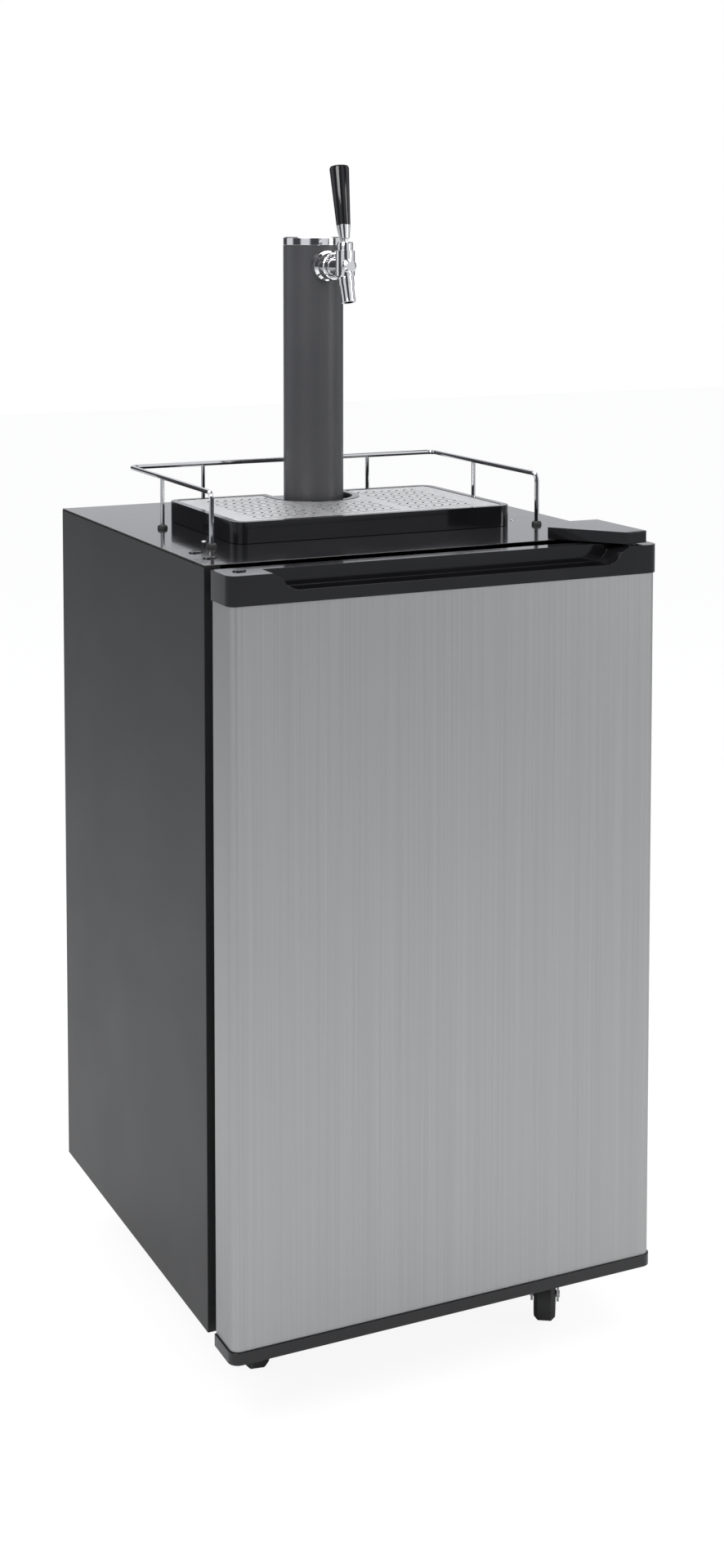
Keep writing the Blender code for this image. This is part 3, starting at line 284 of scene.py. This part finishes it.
def soften(node, width):
    mesh = frame["nodes"][node].data.copy()
    work = bmesh.new()
    work.from_mesh(mesh)
    bmesh.ops.remove_doubles(work, verts=work.verts, dist=0.01 * MM)
    bmesh.ops.recalc_face_normals(work, faces=work.faces)
    made(work, mesh)
    if mesh.has_custom_normals:
        mesh.attributes.remove(mesh.attributes["custom_normal"])
    round_off(mesh)
    item = shown("soft_" + node, mesh, BODY_OF[node], SLOT_OF[node])
    bevel = item.modifiers.new("edges", "BEVEL")
    bevel.width, bevel.segments = width * MM, 3
    bevel.limit_method, bevel.angle_limit = "ANGLE", math.radians(35)
    bevel.use_clamp_overlap = bevel.harden_normals = True
    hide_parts(node)
    return item


for node in frame["nodes"]:
    if node not in HIDDEN:
        kind = "sheet" if node in SHEETS else "moulding" if node in MOULDINGS else "turning"
        soften(node, BEVELS[kind])
print("softened:", len(frame["nodes"]) - len(HIDDEN))

# %% [markdown]
# Small turned parts are one function: a profile of (radius, height) pairs spun about a direction.

# %% Turned details
def turned(name, profile, place, direction, body, slot, sides=48, stretch=1.0, finish=None):
    work = bmesh.new()
    rings = []
    for radius, height in profile:
        if radius == 0:
            rings.append([work.verts.new((0, 0, height * MM))])
            continue
        turns = (math.tau * step / sides for step in range(sides))
        rings.append([work.verts.new((radius * stretch * math.cos(t) * MM, radius * math.sin(t) * MM,
                                      height * MM)) for t in turns])
    for low, high in zip(rings, rings[1:]):
        for step in range(sides):
            after = (step + 1) % sides
            corners = [low[step % len(low)], low[after % len(low)], high[after % len(high)],
                       high[step % len(high)]]
            work.faces.new(list(dict.fromkeys(corners)))
    bmesh.ops.recalc_face_normals(work, faces=work.faces)
    tilt = Vector((0, 0, 1)).rotation_difference(Vector(direction)).to_matrix().to_4x4()
    work.transform(Matrix.Translation(place) @ tilt)
    mesh = made(work, name)
    round_off(mesh)
    return shown(name, mesh, body, slot, finish)


SCREW = [(0, -0.9), (0.9, -0.9), (1.1, 1.1), (2.4, 0.9), (3.2, 0.4), (3.4, -0.3), (0, -0.3)]
PLUG = [(0, 1.9), (3.2, 1.8), (5.0, 1.3), (5.6, 0.5), (5.6, -0.2), (0, -0.2)]
GROMMET = [(2.9, 0.0), (2.9, 4.6), (4.4, 4.6), (5.8, 3.4), (6.2, 0.9), (6.2, 0.0), (2.9, 0.0)]

top_low, top_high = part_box("top_panel")
surface = top_high.z
UP, OUT = (0, 0, 1), (0, -1, 0)
EDGE = 24 * MM
PLUG_SPOTS = (44, 88)                   # behind the top's front edge
SCREW_OUT, SCREW_BACK = 207, 164
HINGE_PLUG_BACK = 29
SIDE_POST_Y, BACK_POST_X = 52 * MM, 117 * MM
BACK_SCREW_OUT, BACK_SCREW_MARGIN, BACK_SCREW_ROWS = 236 * MM, 60 * MM, 4
for index, ahead in enumerate(PLUG_SPOTS):
    turned("top_plug_%d" % index, PLUG, (top_low.x + EDGE, top_low.y + ahead * MM, surface), UP, "cabinet",
           "gloss_black", stretch=1.5)
for index, side in enumerate((-1, 1)):
    spot = (side * SCREW_OUT * MM, top_low.y + SCREW_BACK * MM, surface)
    turned("top_screw_%d" % index, SCREW, spot, UP, "cabinet",
           "zinc", 24)

cap_low, cap_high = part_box("door_top_cap")
spot = (cap_low.x + EDGE, cap_low.y + HINGE_PLUG_BACK * MM, cap_high.z)
turned("hinge_plug", PLUG, spot, UP, "door", "gloss_black",
       stretch=1.4)

rail_low, rail_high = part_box("guard_rail")
WIRE = 3 * MM
rail_x, rail_back = rail_high.x - WIRE, rail_high.y - WIRE
posts = [(side * rail_x, rail_low.y + WIRE) for side in (-1, 1)]
posts += [(side * rail_x, SIDE_POST_Y) for side in (-1, 1)]
posts += [(side * BACK_POST_X, rail_back) for side in (-1, 1)]
for index, (x, y) in enumerate(posts):
    turned("rail_grommet_%d" % index, GROMMET, (x, y, surface), UP, "cabinet", "rubber", 32)

back_low, back_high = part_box("back_panel")
screw_span = back_high.z - back_low.z - 2 * BACK_SCREW_MARGIN
for row in range(BACK_SCREW_ROWS):
    for side in (-1, 1):
        height = back_low.z + BACK_SCREW_MARGIN + row * screw_span / (BACK_SCREW_ROWS - 1)
        spot = (side * BACK_SCREW_OUT, back_high.y, height)
        turned("back_screw_%d_%d" % (row, side), SCREW, spot, (0, 1, 0),
               "cabinet", "zinc", 24)

print("screws, plugs and", len(posts), "grommets placed")

# %% [markdown]
# The drip grille is the frame's plate with slanted slots cut through it, in three fields with plain bands
# between them. Every slot is a copy of one, laid out by two loops.

# %% Slotted grille
SLOT_LONG, SLOT_WIDE, SLOT_SLANT = 11.0, 2.6, math.radians(38)
PITCH_X, PITCH_Y = 11.0, 15.0
BORDER, BAND = 20.0, 9.0

grille_low, grille_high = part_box("drip_grille")
tower_low, tower_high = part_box("tower_column")
work = bmesh.new()
for field in (-1, 0, 1):
    room = (grille_high.x - grille_low.x) / MM - 2 * BORDER
    field_wide = room / 3 - BAND
    columns = int(field_wide // PITCH_X)
    rows = int(((grille_high.y - grille_low.y) / MM - 2 * BORDER) // PITCH_Y) + 1
    for column in range(columns):
        for row in range(rows):
            x = field * room / 3 + (column - (columns - 1) / 2) * PITCH_X
            y = grille_low.y / MM + BORDER + row * PITCH_Y
            near_tower = abs(x) < tower_high.x / MM + 12 and y > tower_low.y / MM - 14
            if near_tower or y > grille_high.y / MM - BORDER + 1:
                continue
            turn = Matrix.Rotation(SLOT_SLANT * (-1 if row % 2 else 1), 4, "Z")
            size = Matrix.Diagonal((SLOT_WIDE * MM, SLOT_LONG * MM, 12 * MM, 1))
            middle = Matrix.Translation((x * MM, y * MM, grille_high.z))
            bmesh.ops.create_cube(work, size=1, matrix=middle @ turn @ size)
cutter = add("slots", made(work, "slots"))

plate = bpy.data.meshes.new_from_object(frame["nodes"]["drip_grille"])
work = bmesh.new()
work.from_mesh(plate)
bmesh.ops.remove_doubles(work, verts=work.verts, dist=0.01 * MM)
made(work, plate)
grille = shown("slotted_grille", plate, "grille", "brushed_steel", PRESSED)
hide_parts("drip_grille")
cut = grille.modifiers.new("slots", "BOOLEAN")
cut.object, cut.operation, cut.solver = cutter, "DIFFERENCE", "EXACT"
bpy.context.view_layer.update()
pressed = bpy.data.meshes.new_from_object(grille.evaluated_get(bpy.context.evaluated_depsgraph_get()))
grille.modifiers.clear()
grille.data = pressed
bpy.data.objects.remove(cutter)
print("grille faces:", len(pressed.polygons))

# %% [markdown]
# Inside, each gauge has a white dial with ticks and a needle, under its brass rim.

# %% Gauge dials
TICKS = 11
SWEEP = math.radians(270)
DIAL_SUNK = 1.5 * MM      # behind the rim


def dial(gauge, reading):
    low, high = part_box(gauge)
    half = min(high.x - low.x, high.z - low.z) / 2         # the round part, without the stem
    radius = half / MM * 0.8
    face = Vector((low.x + half, low.y + DIAL_SUNK, high.z - half))
    turned(gauge + "_dial", [(0, 0.25), (radius, 0.25), (radius, -0.3), (0, -0.3)], face, OUT, "cabinet",
           "brass", finish=DIAL)
    work = bmesh.new()
    marks = [(step / (TICKS - 1), 0.74, 0.94, 0.5) for step in range(TICKS)] + [(reading, -0.15, 0.7, 0.9)]
    for share, start, end, wide in marks:
        turn = Matrix.Rotation(SWEEP * (share - 0.5), 4, "Y")
        size = Matrix.Diagonal((wide * MM, 0.2 * MM, (end - start) * radius * MM, 1))
        along = Matrix.Translation((0, -0.45 * MM, (start + end) / 2 * radius * MM))
        bmesh.ops.create_cube(work, size=1, matrix=Matrix.Translation(face) @ turn @ along @ size)
    shown(gauge + "_marks", made(work, gauge + "_marks"), "cabinet", "brass", INK)


for gauge, reading in (("gauge_keg", 0.35), ("gauge_cylinder", 0.7)):
    dial(gauge, reading)
print("dials on 2 gauges")

# %% [markdown]
# The studio: a pale floor, a white surround where the camera looks past the object, grey elsewhere so that
# metal has something to mirror, and three soft panels of light.

# %% Studio
def soft_panel(name, place, aim, size, power):
    lamp = bpy.data.lights.new(name, "AREA")
    lamp.shape, lamp.size, lamp.size_y, lamp.energy = "RECTANGLE", size[0], size[1], power
    item = add(name, lamp)
    item.location = place
    item.rotation_euler = (Vector(aim) - Vector(place)).to_track_quat("-Z", "Y").to_euler()


soft_panel("key", (-2.0, -1.5, 3.1), (0, 0, 0.9), (1.6, 1.6), 70)
soft_panel("fill", (2.6, -2.2, 1.9), (0, 0, 0.8), (0.9, 2.0), 34)
soft_panel("overhead", (0.2, 0.4, 3.2), (0, 0, 0.9), (2.0, 1.4), 46)

FLOOR_WHITENESS, FLOOR_GLOW, FLOOR_HALF = 0.86, 1.06, 12
work = bmesh.new()
bmesh.ops.create_grid(work, x_segments=1, y_segments=1, size=FLOOR_HALF)
floor = add("floor", made(work, "floor"))
floor.location.z = -0.5 * MM
ground = Finish("floor", 0.9, color=(0.93, 0.93, 0.93))
shaded = ground.surface.outputs[0]
white = ground.node("ShaderNodeEmission", {}, {"Color": (1, 1, 1, 1), "Strength": FLOOR_GLOW})
seen = ground.node("ShaderNodeLightPath", {}, {}, "Is Camera Ray")
both = ground.node("ShaderNodeMixShader", {}, {0: seen * FLOOR_WHITENESS, 2: white})
ground.tree.links.new(shaded, both.socket.node.inputs[1])
ground.tree.links.new(both.socket, ground.tree.nodes["Material Output"].inputs["Surface"])
floor.data.materials.append(ground.material)

BANDS = 5
world = bpy.data.worlds.new("studio")
bpy.context.scene.world = world
world.use_nodes = True
world.node_tree.nodes.clear()
air = Graph(world.node_tree)


def glow(tint, strength):
    return air.node("ShaderNodeBackground", {}, {"Color": (*tint, 1), "Strength": strength})


def either(amount, first, second):
    return air.node("ShaderNodeMixShader", {}, {0: amount, 1: first, 2: second})


def ray(name):
    return air.node("ShaderNodeLightPath", {}, {}, "Is %s Ray" % name)


way = air.node("ShaderNodeTexCoord", {}, {}, "Generated")
across = air.node("ShaderNodeSeparateXYZ", {}, {0: way}, "X")
along = air.node("ShaderNodeSeparateXYZ", {}, {0: way}, "Y")
turn = across.math("ARCTAN2", across, along)
band = (across.math("SINE", turn * BANDS) * 1.6 + 0.5).clamp()
mirrored = either(band, glow((0.10, 0.10, 0.11), 0.6), glow((0.95, 0.96, 1.0), 0.8))
lit = either(ray("Glossy"), glow((0.80, 0.82, 0.85), 0.6), mirrored)
whole = either(ray("Camera"), lit, glow((1, 1, 1), 1.0))
end = air.tree.nodes.new("ShaderNodeOutputWorld")
air.feed(end.inputs["Surface"], whole)

print("studio ready")

# %% [markdown]
# The camera stands left of the door at eye height, tipped down a little, with the lens shifted so that the
# whole height fits.

# %% Camera
YAW, PITCH = math.radians(-25.29), math.radians(4)
lens = bpy.data.cameras.new("camera")
lens.lens, lens.sensor_width, lens.shift_y = 48.76, 36, -0.263
camera = add("camera", lens)
camera.location = (-1.0946, -2.3794, 1.3303)
camera.rotation_euler = (math.radians(90) - PITCH, 0, YAW)
bpy.context.scene.camera = camera
bpy.context.scene.view_settings.view_transform = "Standard"

print("camera at", tuple(round(value, 3) for value in camera.location))
